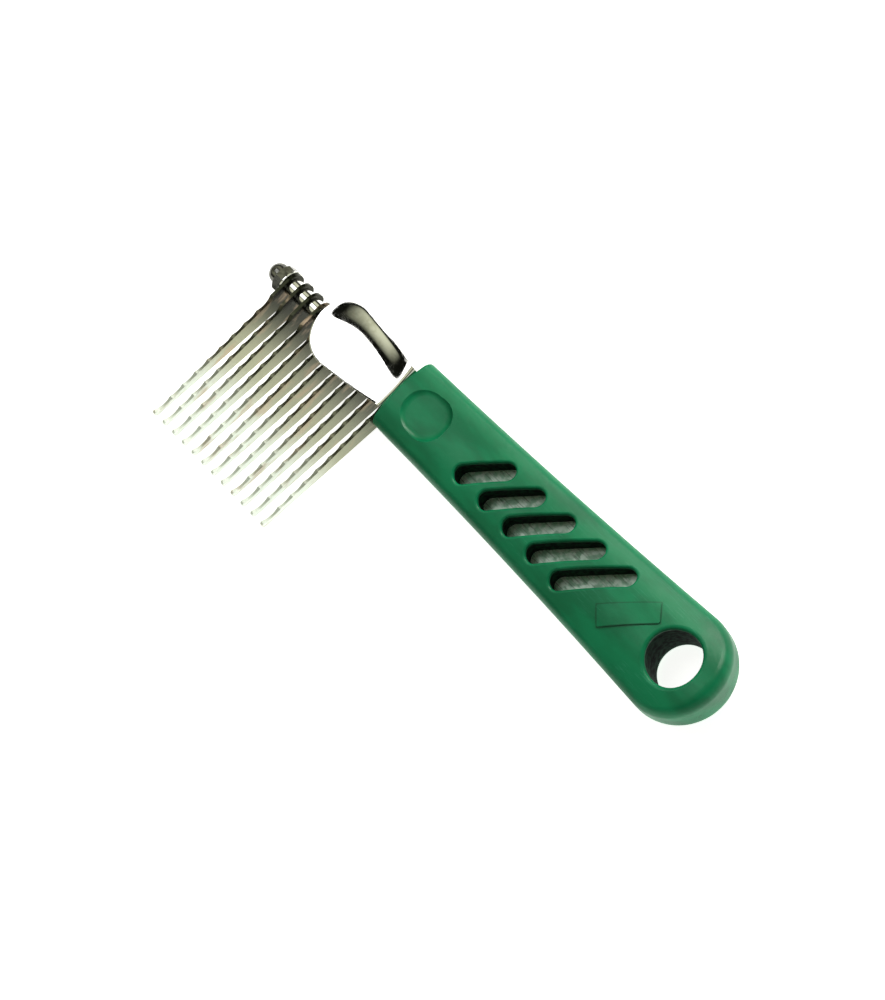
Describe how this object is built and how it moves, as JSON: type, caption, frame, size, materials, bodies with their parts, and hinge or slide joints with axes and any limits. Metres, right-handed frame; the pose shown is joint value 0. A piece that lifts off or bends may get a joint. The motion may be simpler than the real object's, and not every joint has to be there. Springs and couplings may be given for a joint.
{
  "type": "mat-splitting mane comb",
  "caption": "Hand comb with a moulded straight handle, a thumb rest and a row of parallel scalloped blades clamped on a spindle by a cap nut.",
  "frame": {"origin": "centre of the hanging hole at half the handle's thickness", "axes": "+X along the handle from the hanging hole to the blades, +Y towards the blade tips, +Z out of the thumb side, along the hanging hole"},
  "size_m": [0.1655, 0.0608, 0.0148],
  "materials": {
    "handle_plastic": "moulded, satin to gloss",
    "polished_steel": "mirror polished",
    "plated_steel": "bright plated",
    "blade_steel": "ground and polished stainless",
    "strip_steel": "rolled strip, dull"
  },
  "bodies": {
    "handle_frame": {"handle": "handle_plastic", "tang": "strip_steel", "spindle": "plated_steel", "thumb_rest": "polished_steel"},
    "blade_pack": {"blade_01": "blade_steel", "blade_02": "blade_steel", "blade_03": "blade_steel", "blade_04": "blade_steel", "blade_05": "blade_steel", "blade_06": "blade_steel", "blade_07": "blade_steel", "blade_08": "blade_steel", "blade_09": "blade_steel", "blade_10": "blade_steel", "blade_11": "blade_steel", "blade_12": "blade_steel", "spacer_01": "polished_steel", "spacer_02": "polished_steel", "spacer_03": "polished_steel", "spacer_04": "polished_steel", "spacer_05": "polished_steel", "spacer_06": "polished_steel", "spacer_07": "polished_steel", "spacer_08": "polished_steel", "spacer_09": "polished_steel", "spacer_10": "polished_steel", "spacer_11": "polished_steel"},
    "washer_body": {"end_washer": "polished_steel"},
    "nut_body": {"cap_nut": "plated_steel"}
  },
  "joints": [
    {"name": "blade_swing", "type": "hinge", "parent": "handle_frame", "child": "blade_pack", "pos_m": [0.12, 0, 0], "axis": [1, 0, 0], "range_deg": [-180, 0]},
    {"name": "nut_travel", "type": "slide", "parent": "handle_frame", "child": "washer_body", "axis": [1, 0, 0], "range_m": [0, 0.0042]},
    {"name": "nut_turn", "type": "hinge", "parent": "washer_body", "child": "nut_body", "pos_m": [0.148, 0, 0], "axis": [1, 0, 0], "range_deg": [0, 2160]}
  ],
  "couplings": [
    {"joint": "nut_turn", "follows": "nut_travel", "rad_per_m": 8976}
  ]
}
